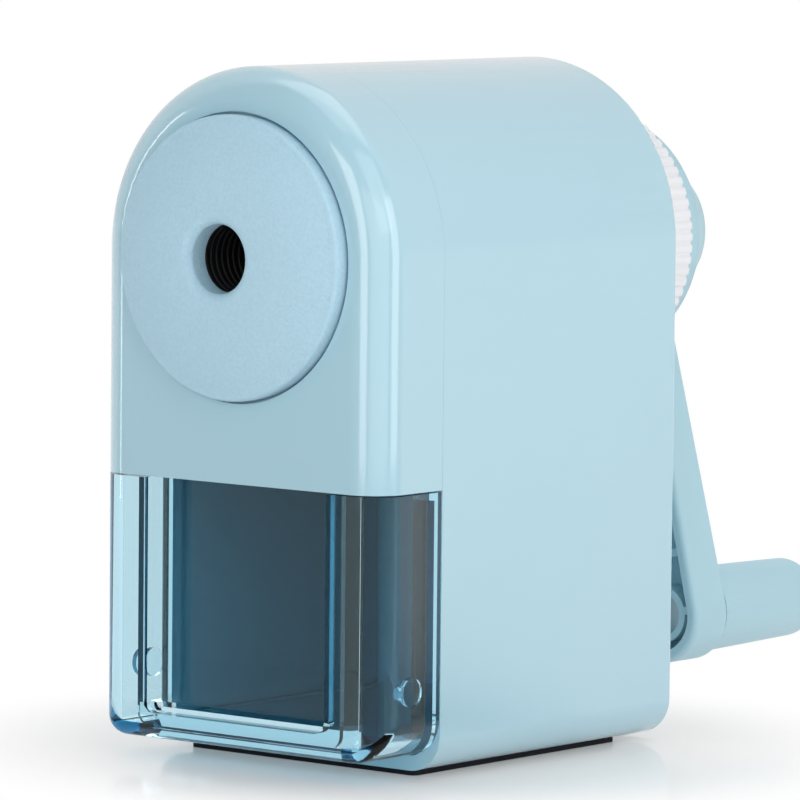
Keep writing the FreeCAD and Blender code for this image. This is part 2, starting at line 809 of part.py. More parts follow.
def adjuster_dial():
    """Ribbed dial on the housing's tube, with two ramps that push the collar."""
    web_front = dial_back - dial_web
    groove = rib_land + rib_flank
    points = []
    for rib in range(dial_ribs):
        for share, depth in ((0.0, 0.0), (rib_land, 0.0),
                             (groove, rib_depth), (groove + rib_groove, rib_depth)):
            angle = 2 * math.pi * (rib + share) / dial_ribs
            radius = dial_radius - depth
            points.append(V(radius * math.cos(angle), dial_front, axis_height + radius * math.sin(angle)))
    dial = polygon(points).extrude(V(0, dial_back - dial_front, 0))
    inside = rod(dial_radius - dial_wall, dial_front, web_front)
    hub = rod(tube_radius + dial_fit + dial_hub_wall, dial_front, web_front)
    ramp = dial_ramp(web_front + joint_overlap)
    dial = dial.cut(inside.cut(hub)).fuse([ramp, about_axis(ramp, 180)])
    return dial.cut(rod(tube_radius + dial_fit, dial_front, dial_back)).removeSplitter()


def arm_outline(inset, y):
    """Arm outline seen from the front: round ends joined by straight tapered sides."""
    small = arm_hub_half_width - inset
    large = arm_end_radius - inset
    lean = math.asin((large - small) / arm_length)
    top, low = V(0, y, 0), V(0, y, -arm_length)

    def rim(centre, radius, angle):
        return centre + V(radius * math.cos(angle), 0, radius * math.sin(angle))

    right, left = lean, math.pi - lean
    edges = [
        Part.Arc(rim(top, small, right), rim(top, small, math.pi / 2), rim(top, small, left)).toShape(),
        Part.makeLine(rim(top, small, left), rim(low, large, left)),
        Part.Arc(rim(low, large, left), rim(low, large, -math.pi / 2), rim(low, large, right)).toShape(),
        Part.makeLine(rim(low, large, right), rim(top, small, right)),
    ]
    return Part.Face(Part.Wire(edges))


def arm_back_wedge(depth):
    """Room behind the arm's sloping back, the given distance in from it."""
    far = hub_back + hub_depth
    bottom = -arm_length - arm_end_radius
    points = [
        V(-body_width, arm_back_hub - depth, arm_end_radius),
        V(-body_width, far, arm_end_radius),
        V(-body_width, far, bottom),
        V(-body_width, arm_back_end - depth, bottom),
        V(-body_width, arm_back_end - depth, -arm_length),
    ]
    return polygon(points).extrude(V(2 * body_width, 0, 0))


def arm_ribs():
    """Cross ribs, slanting braces and the pin's boss, all below the channel's rim."""
    front = arm_front + rib_setback
    half = rib_width / 2
    ribs = [
        box(-arm_end_radius, arm_end_radius, front, arm_back_end, -arm_length - half, -arm_length + half),
        rod(boss_radius, front, arm_back_end, 0, -arm_length),
    ]
    for step in range(rib_count):
        low = -arm_length + boss_radius + rib_first + rib_pitch * step
        ribs.append(box(-arm_end_radius, arm_end_radius, front, arm_back_end, low, low + rib_width))
        brace = box(-half, half, front, arm_back_end, 0, brace_length)
        brace.rotate(V(0, 0, 0), Y_AXIS, brace_angle if step % 2 else -brace_angle)
        brace.translate(V(0, 0, low + brace_drop))
        ribs.append(brace)
    return ribs


def crank_channel():
    """Arm with its channel open to the front, ribs across it and the pin's boss."""
    depth = arm_back_end - arm_front
    body = arm_outline(0, arm_front).extrude(V(0, depth, 0)).cut(arm_back_wedge(0))
    body = body.makeFillet(arm_edge_round, edges_at_y(body, arm_front))
    room = arm_outline(arm_wall, arm_front).extrude(V(0, depth, 0)).cut(arm_back_wedge(arm_floor))
    room = room.common(box(-body_width, body_width, 0, hub_back, -arm_length * 2, -hub_radius))
    return body.cut(room).fuse([rib.common(room) for rib in arm_ribs()])


def crank_arm():
    """Crank: domed hub on the shaft and the channel arm, in one moulding."""
    socket_end = drive_end + socket_spare
    socket_radius = drive_radius + drive_fit
    screw_hole = crank_screw_radius + crank_screw_gap
    cap_hole = cap_radius + cap_fit
    inner_radius = hub_radius - hub_wall
    inner_step = hub_front + hub_rim - hub_step
    inner_nose = screw_seat - hub_wall
    hub = revolve([
        (screw_hole, socket_end),
        (screw_hole, screw_seat),
        (cap_hole, screw_seat),
        (cap_hole, hub_back),
        (hub_nose_radius - hub_nose_round, hub_back),
        (hub_nose_radius - ROUND_MID * hub_nose_round, hub_back - ROUND_MID * hub_nose_round),
        (hub_nose_radius, hub_back - hub_nose_round),
        (hub_radius, hub_front + hub_rim),
        (hub_radius, hub_front),
        (inner_radius, hub_front),
        (inner_radius, inner_step),
        (hub_core_radius, inner_nose),
        (hub_core_radius, hub_front),
        (socket_radius, hub_front),
        (socket_radius, socket_end),
    ])
    flats = []
    for side in (-1, 1):
        near = axis_height + side * (drive_flat + drive_fit)
        far = axis_height + side * (socket_radius + joint_overlap)
        half = socket_radius + joint_overlap
        flats.append(box(-half, half, hub_front, socket_end, min(near, far), max(near, far)))
    arm = crank_channel()
    arm.translate(V(0, 0, axis_height))
    arm = about_axis(arm, -arm_swing)
    hub_room = revolve([(0, hub_front), (inner_radius, hub_front), (inner_radius, inner_step),
                        (hub_core_radius, inner_nose), (0, inner_nose)])
    arm = arm.cut(hub_room.fuse(rod(cap_hole, hub_front, hub_back)))
    crank = hub.fuse(flats + [arm])
    return crank.cut([
        rod(pin_radius + axle_seat, arm_front, arm_back_end, arm_end_x, arm_end_z),
        rod(pin_head_radius + pin_fit, arm_front, pin_seat, arm_end_x, arm_end_z),
    ]).removeSplitter()


def crank_screw():
    """Screw that holds the crank on the shaft."""
    head = rod(crank_screw_head, screw_seat, cap_seat)
    tip = drive_end - crank_screw_length + crank_screw_spare
    shank = rod(crank_screw_radius - axle_seat, tip, screw_seat)
    return head.fuse(shank).cut(rod(recess_radius, cap_seat - recess_depth, cap_seat)).removeSplitter()


def hub_cap():
    """Plug over the crank's screw."""
    crown = hub_back + cap_crown
    cap = rod(cap_radius, cap_seat, crown)
    return cap.makeFillet(cap_round, edges_at_y(cap, crown))


def handle_pin():
    """Headed pin through the arm's boss, on which the knob turns."""
    head = rod(pin_head_radius, pin_seat - pin_head_height, pin_seat, arm_end_x, arm_end_z)
    shank = rod(pin_radius, pin_seat, knob_bore_end - pin_end_gap, arm_end_x, arm_end_z)
    return head.fuse(shank).removeSplitter()


def handle_knob():
    """Tapered knob with a round end, bored for its pin."""
    bore = pin_radius + pin_fit
    neck = knob_base_radius - knob_neck
    neck_end = knob_foot + knob_neck_length
    round_start = knob_end - knob_end_round
    axis = V(arm_end_x, 0, arm_end_z)

    def at(radius, y):
        return axis + V(radius, y, 0)

    straight = [
        at(0, knob_bore_end), at(bore, knob_bore_end), at(bore, knob_foot), at(neck, knob_foot),
        at(neck, neck_end), at(knob_base_radius, neck_end), at(knob_end_radius, round_start),
    ]
    edges = [Part.makeLine(a, b) for a, b in zip(straight, straight[1:])]
    slant = knob_end_round * math.sqrt(0.5)
    centre = at(knob_end_radius - knob_end_round, round_start)
    crown = centre + V(0, knob_end_round, 0)
    edges += [
        Part.Arc(straight[-1], centre + V(slant, slant, 0), crown).toShape(),
        Part.makeLine(crown, at(0, knob_end)),
        Part.makeLine(at(0, knob_end), straight[0]),
    ]
    return Part.Face(Part.Wire(edges)).revolve(axis, Y_AXIS, 360)


PIECES = [
    housing, front_cover, face_disc, pencil_guide, drawer, base_pad, gear_plate, gear_plate_screws,
    cutter_carrier, cutter_roller, cutter_pinion, cutter_axle, point_stop, stop_spring,
    adjuster_collar, adjuster_dial, crank_arm, crank_screw, hub_cap, handle_pin, handle_knob,
]


def write_step(piece):
    """Build one piece, move it to the part's origin and write it."""
    shape = piece()
    shape.translate(V(0, -origin_y, 0))
    shape.exportStep(os.path.join("parts", piece.__name__ + ".step"))


os.makedirs("parts", exist_ok=True)
for piece in PIECES:
    write_step(piece)
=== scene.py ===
"""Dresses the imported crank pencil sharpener: pale blue mouldings, a clear teal drawer,
a white point dial, steel cutter parts, and a plain pale studio round it."""
import json
import logging
import math
from dataclasses import dataclass, field
from enum import Enum

import bpy
from mathutils import Matrix, Vector

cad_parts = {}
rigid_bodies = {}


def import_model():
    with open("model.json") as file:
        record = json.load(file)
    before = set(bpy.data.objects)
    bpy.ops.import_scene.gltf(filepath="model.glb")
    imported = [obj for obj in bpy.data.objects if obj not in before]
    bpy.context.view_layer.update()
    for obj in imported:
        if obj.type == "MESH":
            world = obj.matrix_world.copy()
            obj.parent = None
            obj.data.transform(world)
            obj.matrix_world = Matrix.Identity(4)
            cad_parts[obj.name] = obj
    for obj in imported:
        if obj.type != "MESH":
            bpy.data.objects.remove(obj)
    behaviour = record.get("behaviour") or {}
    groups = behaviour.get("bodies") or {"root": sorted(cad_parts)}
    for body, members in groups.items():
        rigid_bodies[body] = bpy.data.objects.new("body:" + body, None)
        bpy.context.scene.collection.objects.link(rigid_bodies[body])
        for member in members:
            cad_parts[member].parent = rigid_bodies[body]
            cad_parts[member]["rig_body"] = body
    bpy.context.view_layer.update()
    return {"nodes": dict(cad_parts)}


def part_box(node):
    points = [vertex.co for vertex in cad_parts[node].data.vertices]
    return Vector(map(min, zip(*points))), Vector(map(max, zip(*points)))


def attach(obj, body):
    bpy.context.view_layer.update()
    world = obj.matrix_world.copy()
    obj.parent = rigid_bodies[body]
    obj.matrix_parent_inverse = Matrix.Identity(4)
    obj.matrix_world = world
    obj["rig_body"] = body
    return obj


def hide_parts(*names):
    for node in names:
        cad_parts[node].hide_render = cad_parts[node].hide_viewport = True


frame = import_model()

MM = 0.001
LOG = logging.getLogger("sharpener")
Colour = tuple[float, float, float]

MERGE_GAP = 2e-6        # points nearer than this are one, metres
COPLANAR_DEG = 0.3      # faces flatter than this are one
SMOOTH_DEG = 32.0       # neighbouring faces under this angle shade as one
TURNED_DEG = 30.0       # the same on a turned piece
SHARP_DEG = 35.0        # edges over this angle are broken


class EdgeBreak(Enum):
    """How far a moulding's sharp edges are broken, in millimetres."""

    NONE = 0.0
    FINE = 0.08
    SOFT = 0.18


def node_of(tree: bpy.types.NodeTree, kind: str, **settings: object) -> bpy.types.Node:
    """Add a shader node and set its properties.

    Args:
        tree: node tree that gets the node.
        kind: node's type name.
        settings: property values of the node.

    Returns:
        The new node.
    """
    node = tree.nodes.new(kind)
    for key, value in settings.items():
        setattr(node, key, value)
    return node


class Effects:
    """Shader node groups that several finishes share.

    Attributes:
        fine_detail: octaves of the grain's noise.
        fine_roughness: how much its finer octaves count.
        cell_share: how much the grain's cells count beside its noise.
        mask_range: noise values where the grain's mask of painted shade starts and ends.
        drift_detail: octaves of the pigment drift.
    """

    fine_detail: float = 3.0
    fine_roughness: float = 0.6
    cell_share: float = 0.5
    mask_range: tuple[float, float] = (0.35, 0.75)
    drift_detail: float = 2.0

    def __init__(self) -> None:
        """Build both groups once."""
        self.grain = self._grain()
        self.mottle = self._mottle()

    def _new_group(self, name: str, inputs: dict[str, tuple[str, object]],
                   outputs: dict[str, str]) -> bpy.types.NodeTree:
        """Make an empty group with named sockets.

        Args:
            name: group's name.
            inputs: socket name to its type and default value.
            outputs: socket name to its type.

        Returns:
            The group's node tree.
        """
        tree = bpy.data.node_groups.new(name, "ShaderNodeTree")
        for label, (kind, value) in inputs.items():
            socket = tree.interface.new_socket(label, in_out="INPUT", socket_type=kind)
            if value is not None:
                socket.default_value = value
        for label, kind in outputs.items():
            tree.interface.new_socket(label, in_out="OUTPUT", socket_type=kind)
        return tree

    def _grain(self) -> bpy.types.NodeTree:
        """Fine spark-eroded grain: a height for Bump and a mask of its hollows, where shade is painted into
        the colour.

        Returns:
            The group's node tree.
        """
        tree = self._new_group(
            "mould_grain",
            {"Vector": ("NodeSocketVector", None), "Scale": ("NodeSocketFloat", 1800.0)},
            {"Height": "NodeSocketFloat", "Mask": "NodeSocketFloat"})
        entry = node_of(tree, "NodeGroupInput")
        leave = node_of(tree, "NodeGroupOutput")
        fine = node_of(tree, "ShaderNodeTexNoise")
        fine.inputs["Detail"].default_value = self.fine_detail
        fine.inputs["Roughness"].default_value = self.fine_roughness
        cells = node_of(tree, "ShaderNodeTexVoronoi", feature="SMOOTH_F1")
        blend = node_of(tree, "ShaderNodeMath", operation="MULTIPLY_ADD")
        blend.inputs[1].default_value = self.cell_share
        broad = node_of(tree, "ShaderNodeMapRange")
        broad.inputs["From Min"].default_value, broad.inputs["From Max"].default_value = self.mask_range
        links = tree.links
        for texture in (fine, cells):
            links.new(entry.outputs["Vector"], texture.inputs["Vector"])
            links.new(entry.outputs["Scale"], texture.inputs["Scale"])
        links.new(cells.outputs["Distance"], blend.inputs[0])
        links.new(fine.outputs["Fac"], blend.inputs[2])
        links.new(blend.outputs[0], leave.inputs["Height"])
        links.new(fine.outputs["Fac"], broad.inputs["Value"])
        links.new(broad.outputs["Result"], leave.inputs["Mask"])
        return tree

    def _mottle(self) -> bpy.types.NodeTree:
        """Slow drift of colour and gloss over a moulding, as pigment and tool polish give.

        Returns:
            The group's node tree.
        """
        tree = self._new_group(
            "pigment_drift",
            {"Vector": ("NodeSocketVector", None), "Scale": ("NodeSocketFloat", 40.0),
             "Light": ("NodeSocketColor", (1, 1, 1, 1)), "Deep": ("NodeSocketColor", (0, 0, 0, 1)),
             "Roughness": ("NodeSocketFloat", 0.3), "Spread": ("NodeSocketFloat", 0.05)},
            {"Color": "NodeSocketColor", "Roughness": "NodeSocketFloat"})
        entry = node_of(tree, "NodeGroupInput")
        leave = node_of(tree, "NodeGroupOutput")
        slow = node_of(tree, "ShaderNodeTexNoise")
        slow.inputs["Detail"].default_value = self.drift_detail
        mix = node_of(tree, "ShaderNodeMix", data_type="RGBA")
        gloss = node_of(tree, "ShaderNodeMath", operation="MULTIPLY_ADD")
        links = tree.links
        links.new(entry.outputs["Vector"], slow.inputs["Vector"])
        links.new(entry.outputs["Scale"], slow.inputs["Scale"])
        links.new(slow.outputs["Fac"], mix.inputs["Factor"])
        links.new(entry.outputs["Light"], mix.inputs["A"])
        links.new(entry.outputs["Deep"], mix.inputs["B"])
        links.new(mix.outputs["Result"], leave.inputs["Color"])
        links.new(slow.outputs["Fac"], gloss.inputs[0])
        links.new(entry.outputs["Spread"], gloss.inputs[1])
        links.new(entry.outputs["Roughness"], gloss.inputs[2])
        links.new(gloss.outputs[0], leave.inputs["Roughness"])
        return tree


EFFECTS = Effects()


@dataclass(frozen=True)
class Finish:
    """A surface finish that paints a Principled shader from the shared effects.

    Attributes:
        name: material's name.
        light: lighter end of the pigment drift, linear.
        deep: darker end of the pigment drift, linear.
        roughness: base roughness.
        spread: roughness added where the drift is strongest.
        drift_scale: drift's scale per metre.
        grain_scale: grain's scale per metre.
        grain_depth: grain's height in millimetres.
        metallic: plain metallic value.
        coat: plain clear-coat weight.
        coat_roughness: plain roughness of that coat.
        specular: plain specular level.
        hollow_shade: how much painted shade darkens the colour in the grain's hollows.
    """

    name: str
    light: Colour
    deep: Colour
    roughness: float = 0.3
    spread: float = 0.06
    drift_scale: float = 35.0
    grain_scale: float = 2200.0
    grain_depth: float = 0.004
    metallic: float = 0.0
    coat: float = 0.0
    coat_roughness: float = 0.05
    specular: float = 0.5
    hollow_shade: float = 0.0

    def material(self) -> bpy.types.Material:
        """Build the finish's material, or return it if it exists."""
        known = bpy.data.materials.get(self.name)
        return known or self._build()

    def _build(self) -> bpy.types.Material:
        """Make the node tree: drift into colour and roughness, grain into the normal, and painted shade in
        the grain's hollows into the colour.

        Returns:
            The new material.
        """
        mat = bpy.data.materials.new(self.name)
        mat.use_nodes = True
        tree = mat.node_tree
        shader = tree.nodes["Principled BSDF"]
        place = node_of(tree, "ShaderNodeTexCoord")
        drift = node_of(tree, "ShaderNodeGroup", node_tree=EFFECTS.mottle)
        drift.inputs["Scale"].default_value = self.drift_scale
        drift.inputs["Light"].default_value = (*self.light, 1.0)
        drift.inputs["Deep"].default_value = (*self.deep, 1.0)
        drift.inputs["Roughness"].default_value = self.roughness
        drift.inputs["Spread"].default_value = self.spread
        grain = node_of(tree, "ShaderNodeGroup", node_tree=EFFECTS.grain)
        grain.inputs["Scale"].default_value = self.grain_scale
        bump = node_of(tree, "ShaderNodeBump")
        bump.inputs["Distance"].default_value = self.grain_depth * MM
        bump.inputs["Strength"].default_value = 1.0
        links = tree.links
        links.new(place.outputs["Object"], drift.inputs["Vector"])
        links.new(place.outputs["Object"], grain.inputs["Vector"])
        # Painted shade: the base colour is darkened in the grain's hollows by this share.
        hollow = 1.0 - self.hollow_shade
        shade = node_of(tree, "ShaderNodeMix", data_type="RGBA", blend_type="MULTIPLY")
        shade.inputs["B"].default_value = (hollow, hollow, hollow, 1.0)
        links.new(grain.outputs["Mask"], shade.inputs["Factor"])
        links.new(drift.outputs["Color"], shade.inputs["A"])
        links.new(shade.outputs["Result"], shader.inputs["Base Color"])
        links.new(drift.outputs["Roughness"], shader.inputs["Roughness"])
        links.new(grain.outputs["Height"], bump.inputs["Height"])
        links.new(bump.outputs["Normal"], shader.inputs["Normal"])
        shader.inputs["Metallic"].default_value = self.metallic
        shader.inputs["Coat Weight"].default_value = self.coat
        shader.inputs["Coat Roughness"].default_value = self.coat_roughness
        shader.inputs["Specular IOR Level"].default_value = self.specular
        self.dress_shader(tree, shader)
        return mat

    def dress_shader(self, tree: bpy.types.NodeTree, shader: bpy.types.Node) -> None:
        """Leave the shader as it is; finishes that need more add it here."""


@dataclass(frozen=True)
class ClearFinish(Finish):
    """Clear moulding that takes its tint from its thickness.

    Attributes:
        tint: colour that the thickness absorbs towards.
        density: absorption per metre.
        ior: refractive index.
        lamp_tint: colour that each of its faces leaves in a lamp's light.
    """

    tint: Colour = (0.045, 0.69, 0.905)
    density: float = 112.0
    ior: float = 1.5
    lamp_tint: Colour = (0.74, 0.93, 0.97)

    def dress_shader(self, tree: bpy.types.NodeTree, shader: bpy.types.Node) -> None:
        """Make the shader transmit, fill the solid with an absorbing volume, and let lamps shine in.

        Args:
            tree: the material's node tree.
            shader: its Principled shader.
        """
        shader.inputs["Transmission Weight"].default_value = 1.0
        shader.inputs["IOR"].default_value = self.ior
        volume = node_of(tree, "ShaderNodeVolumeAbsorption")
        volume.inputs["Color"].default_value = (*self.tint, 1.0)
        volume.inputs["Density"].default_value = self.density
        leave = tree.nodes["Material Output"]
        tree.links.new(volume.outputs["Volume"], leave.inputs["Volume"])
        path = node_of(tree, "ShaderNodeLightPath")
        open_way = node_of(tree, "ShaderNodeBsdfTransparent")
        open_way.inputs["Color"].default_value = (*self.lamp_tint, 1.0)
        mix = node_of(tree, "ShaderNodeMixShader")
        tree.links.new(path.outputs["Is Shadow Ray"], mix.inputs["Fac"])
        tree.links.new(shader.outputs["BSDF"], mix.inputs[1])
        tree.links.new(open_way.outputs["BSDF"], mix.inputs[2])
        tree.links.new(mix.outputs["Shader"], leave.inputs["Surface"])


BLUE_GLOSS = Finish("blue_gloss_moulding", (0.408, 0.634, 0.730), (0.390, 0.616, 0.715),
                    roughness=0.16, spread=0.05, grain_depth=0.0006, grain_scale=900.0, coat=1.0)
BLUE_SATIN = Finish("blue_satin_moulding", (0.442, 0.662, 0.745), (0.418, 0.640, 0.726),
                    roughness=0.42, spread=0.08, grain_depth=0.006, grain_scale=2600.0, specular=0.4)
# The textured disc's colour carries painted shade in its grain's hollows.
BLUE_TEXTURED = Finish("blue_textured_moulding", (0.440, 0.664, 0.790), (0.416, 0.640, 0.770),
                       roughness=0.5, spread=0.08, grain_depth=0.09, grain_scale=2400.0, specular=0.4,
                       hollow_shade=0.08)
WHITE_SATIN = Finish("white_satin_moulding", (0.86, 0.87, 0.90), (0.82, 0.83, 0.86),
                     roughness=0.38, grain_depth=0.004)
DARK_GREY = Finish("dark_grey_moulding", (0.11, 0.112, 0.118), (0.085, 0.087, 0.092),
                   roughness=0.45, grain_depth=0.008)
BLACK_GUIDE = Finish("black_guide_moulding", (0.010, 0.010, 0.012), (0.005, 0.005, 0.006),
                     roughness=0.5, spread=0.15, grain_depth=0.004, specular=0.3)
PAD_RUBBER = Finish("black_pad_rubber", (0.022, 0.022, 0.030), (0.010, 0.010, 0.014),
                    roughness=0.75, spread=0.15, grain_depth=0.04, grain_scale=1500.0, specular=0.25)
STEEL = Finish("machined_steel", (0.62, 0.63, 0.65), (0.50, 0.51, 0.53),
               roughness=0.28, spread=0.12, grain_depth=0.002, metallic=1.0)
CLEAR_TEAL = ClearFinish("clear_teal_moulding", (0.93, 0.97, 0.98), (0.90, 0.96, 0.97),
                         roughness=0.01, spread=0.015, grain_depth=0.0003, grain_scale=500.0, specular=0.32)


class Workbench:
    """Edit-mode steps that several pieces share."""

    @staticmethod
    def start(obj: bpy.types.Object) -> None:
        """Make one object the only selected and active one.

        Args:
            obj: object to work on.
        """
        bpy.ops.object.select_all(action="DESELECT")
        obj.select_set(True)
        bpy.context.view_layer.objects.active = obj

    @classmethod
    def clean_copy(cls, node: str, edge: EdgeBreak) -> bpy.types.Object:
        """Copy a CAD node's form as one joined skin with broken edges.

        Args:
            node: CAD node's name.
            edge: how far its sharp edges are broken.

        Returns:
            The new piece, at the origin.
        """
        mesh = frame["nodes"][node].data.copy()
        mesh.materials.clear()
        piece = bpy.data.objects.new(node + "_skin", mesh)
        bpy.context.scene.collection.objects.link(piece)
        cls.start(piece)
        bpy.ops.object.mode_set(mode="EDIT")
        bpy.ops.mesh.select_all(action="SELECT")
        bpy.ops.mesh.remove_doubles(threshold=MERGE_GAP)
        bpy.ops.mesh.dissolve_limited(angle_limit=math.radians(COPLANAR_DEG))
        bpy.ops.object.mode_set(mode="OBJECT")
        if edge is not EdgeBreak.NONE:
            cls.break_edges(piece, edge.value)
        cls.smooth(piece)
        return piece

    @classmethod
    def turned(cls, name: str, start: tuple[float, float], rings: list[tuple[float, float]],
               axis_z: float, sides: int = 72) -> bpy.types.Object:
        """Extrude a circle ring by ring along the depth axis into a closed turned piece.

        Args:
            name: piece's name.
            start: radius and depth of the first ring.
            rings: radius and depth of each further ring; the last one meets the first.
            axis_z: height of the turning axis.
            sides: points in each ring.

        Returns:
            The new piece, at the origin.
        """
        bpy.ops.object.select_all(action="DESELECT")
        radius, depth = start
        bpy.ops.mesh.primitive_circle_add(vertices=sides, radius=radius, fill_type="NOTHING",
                                          location=(0.0, depth, axis_z), rotation=(math.pi / 2, 0.0, 0.0))
        piece = bpy.context.active_object
        piece.name = name
        bpy.ops.object.transform_apply(location=True, rotation=True, scale=True)
        bpy.ops.object.mode_set(mode="EDIT")
        bpy.ops.mesh.select_all(action="SELECT")
        for next_radius, next_depth in rings:
            step = (0.0, next_depth - depth, 0.0)
            bpy.ops.mesh.extrude_region_move(TRANSFORM_OT_translate={"value": step})
            grow = next_radius / radius
            bpy.ops.transform.resize(value=(grow, 1.0, grow), center_override=(0.0, next_depth, axis_z))
            radius, depth = next_radius, next_depth
        bpy.ops.mesh.select_all(action="SELECT")
        bpy.ops.mesh.remove_doubles(threshold=MERGE_GAP)
        bpy.ops.mesh.normals_make_consistent(inside=False)
        bpy.ops.object.mode_set(mode="OBJECT")
        bpy.ops.object.shade_smooth_by_angle(angle=math.radians(TURNED_DEG))
        return piece

    @staticmethod
    def block(name: str, low: tuple[float, float, float],
              high: tuple[float, float, float]) -> bpy.types.Object:
        """Add a cube sized and placed between two corners, as the start of a shape.

        Args:
            name: block's name.
            low: its lowest corner.
            high: its highest corner.

        Returns:
            The block, at the origin.
        """
        first, last = Vector(low), Vector(high)
        bpy.ops.object.select_all(action="DESELECT")
        bpy.ops.mesh.primitive_cube_add(size=1.0, location=(first + last) / 2)
        piece = bpy.context.active_object
        piece.name = name
        piece.scale = last - first
        bpy.ops.object.transform_apply(location=True, rotation=True, scale=True)
        return piece

    @classmethod
    def combine(cls, piece: bpy.types.Object, other: bpy.types.Object, how: str) -> None:
        """Join or cut a piece with another one, which is used up.

        Args:
            piece: mesh object that is kept.
            other: mesh object that is added or cut away.
            how: UNION or DIFFERENCE.
        """
        cls.start(piece)
        joint = piece.modifiers.new("shaping", "BOOLEAN")
        joint.operation = how
        joint.solver = "EXACT"
        joint.object = other
        bpy.ops.object.modifier_apply(modifier=joint.name)
        bpy.data.meshes.remove(other.data)

    @classmethod
    def break_edges(cls, piece: bpy.types.Object, width_mm: float) -> None:
        """Round a piece's sharp edges with an applied bevel.

        Args:
            piece: mesh object.
            width_mm: bevel's width in millimetres.
        """
        cls.start(piece)
        bevel = piece.modifiers.new("broken_edges", "BEVEL")
        bevel.width = width_mm * MM
        bevel.segments = 2
        bevel.limit_method = "ANGLE"
        bevel.angle_limit = math.radians(SHARP_DEG)
        bevel.use_clamp_overlap = True
        bpy.ops.object.modifier_apply(modifier=bevel.name)

    @classmethod
    def smooth(cls, piece: bpy.types.Object) -> None:
        """Shade a piece smooth under an angle, with its large faces kept flat.

        Args:
            piece: mesh object.
        """
        cls.start(piece)
        bpy.ops.object.shade_smooth_by_angle(angle=math.radians(SMOOTH_DEG))
        even = piece.modifiers.new("flat_faces", "WEIGHTED_NORMAL")
        even.weight = 100
        even.keep_sharp = True
        bpy.ops.object.modifier_apply(modifier=even.name)


@dataclass
class SubAssembly:
    """A group of nodes on one or more bodies, with the finish that each one gets.

    Attributes:
        finishes: CAD node to its finish.
        skins: CAD node to the edge break of the piece that stands for it.
    """

    finishes: dict[str, Finish] = field(default_factory=dict)
    skins: dict[str, EdgeBreak] = field(default_factory=dict)

    def build(self) -> list[str]:
        """Make the sub-assembly's own pieces and finish its nodes.

        Returns:
            Names of the nodes and pieces that got a finish.
        """
        done = []
        for node, finish in self.finishes.items():
            if node in self.skins:
                piece = Workbench.clean_copy(node, self.skins[node])
                self.stand_for(piece, node, finish)
                done.append(piece.name)
            else:
                self.paint(frame["nodes"][node], finish)
                done.append(node)
        return done + self.add_details()

    def add_details(self) -> list[str]:
        """Model the pieces that the solids leave to the looks, and name them; none by default."""
        return []

    @staticmethod
    def paint(obj: bpy.types.Object, finish: Finish) -> None:
        """Give an object one finish all over.

        Args:
            obj: node or new piece.
            finish: finish that it gets.
        """
        if not obj.material_slots:
            obj.data.materials.append(finish.material())
        for slot in obj.material_slots:
            slot.material = finish.material()

    @classmethod
    def stand_for(cls, piece: bpy.types.Object, node: str, finish: Finish) -> None:
        """Let a piece stand for a CAD node on that node's body.

        Args:
            piece: the new piece.
            node: node that it hides.
            finish: finish that it gets.
        """
        cls.paint(piece, finish)
        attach(piece, frame["nodes"][node]["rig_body"])
        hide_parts(node)


@dataclass
class BodyShell(SubAssembly):
    """Housing, front cover, pad and the gear plate inside."""

    finishes: dict[str, Finish] = field(default_factory=lambda: {
        "housing": BLUE_GLOSS, "front_cover": BLUE_GLOSS, "base_pad": PAD_RUBBER,
        "gear_plate": DARK_GREY, "gear_plate_screws": STEEL})
    skins: dict[str, EdgeBreak] = field(default_factory=lambda: {
        "housing": EdgeBreak.FINE, "front_cover": EdgeBreak.FINE, "base_pad": EdgeBreak.FINE})


@dataclass
class PencilPort(SubAssembly):
    """Face disc with the pencil hole, and the guide behind it.

    Attributes:
        guide_wall: thickness of the guide.
        groove_depth: depth of the rings in its bore.
        groove_pitch: distance from ring to ring.
        groove_count: number of rings.
        groove_start: first ring behind the guide's front.
        groove_share: a ring's width as a share of the pitch.
        groove_lead: sloped part at each side of a ring.
        mouth_break: broken edge at the bore's front.
    """

    finishes: dict[str, Finish] = field(default_factory=lambda: {"face_disc": BLUE_TEXTURED})
    skins: dict[str, EdgeBreak] = field(default_factory=lambda: {"face_disc": EdgeBreak.FINE})
    guide_wall: float = 0.9 * MM
    groove_depth: float = 0.2 * MM
    groove_pitch: float = 1.1 * MM
    groove_count: int = 6
    groove_start: float = 0.6 * MM
    groove_share: float = 0.55
    groove_lead: float = 0.1 * MM
    mouth_break: float = 0.25 * MM

    def add_details(self) -> list[str]:
        """Model the ringed bore of the pencil guide.

        Returns:
            Name of the new piece.
        """
        guide = self.ringed_guide()
        self.stand_for(guide, "pencil_guide", BLACK_GUIDE)
        return [guide.name]

    def ringed_guide(self) -> bpy.types.Object:
        """Draw the guide ring by ring: outer wall back, then the grooved bore forward.

        Returns:
            The closed tube with gripping grooves in its bore.
        """
        low, high = (Vector(corner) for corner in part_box("pencil_guide"))
        outer = (high.x - low.x) / 2
        bore = outer - self.guide_wall
        rings = [(outer, high.y), (bore, high.y)]
        first = low.y + self.groove_start
        deep = bore + self.groove_depth
        for index in reversed(range(self.groove_count)):
            near = first + index * self.groove_pitch
            far = near + self.groove_share * self.groove_pitch
            rings += [(bore, far), (deep, far - self.groove_lead),
                      (deep, near + self.groove_lead), (bore, near)]
        rings += [(bore, low.y + self.mouth_break), (bore + self.mouth_break, low.y), (outer, low.y)]
        return Workbench.turned("ringed_guide", (outer, low.y), rings, (low.z + high.z) / 2)


